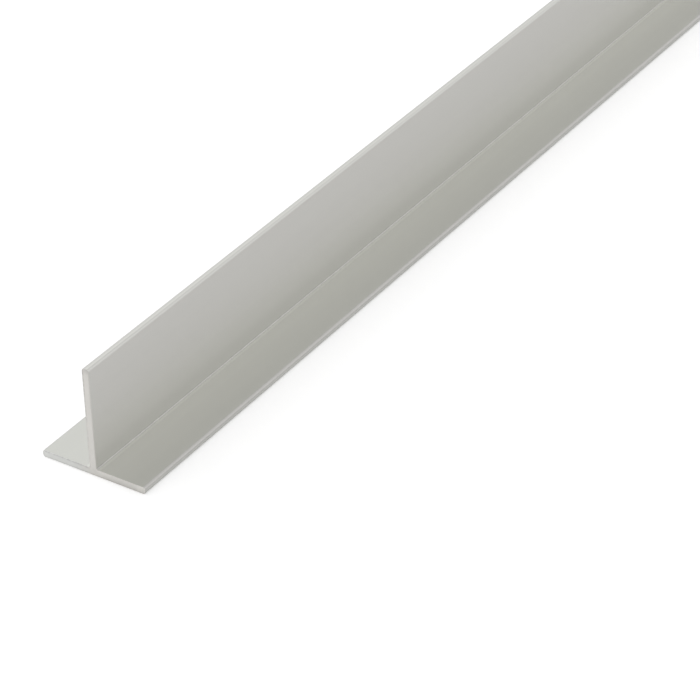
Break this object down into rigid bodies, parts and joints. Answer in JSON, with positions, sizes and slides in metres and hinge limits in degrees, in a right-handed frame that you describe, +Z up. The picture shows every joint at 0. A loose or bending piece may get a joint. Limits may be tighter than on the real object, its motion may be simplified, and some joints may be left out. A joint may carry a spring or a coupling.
{
  "type": "aluminium tee section",
  "caption": "Equal aluminium tee section: a thin flat flange with an upright web along its middle, satin natural finish, sawn square at both ends.",
  "frame": {"origin": "middle of the flange's underside, half way along the bar", "axes": "+X along the bar, +Y across the flange, +Z up along the web"},
  "size_m": [1, 0.0234, 0.0235],
  "materials": {
    "anodised_aluminium": "satin natural anodised"
  },
  "bodies": {
    "root": {"tee_bar": "anodised_aluminium"}
  },
  "joints": []
}
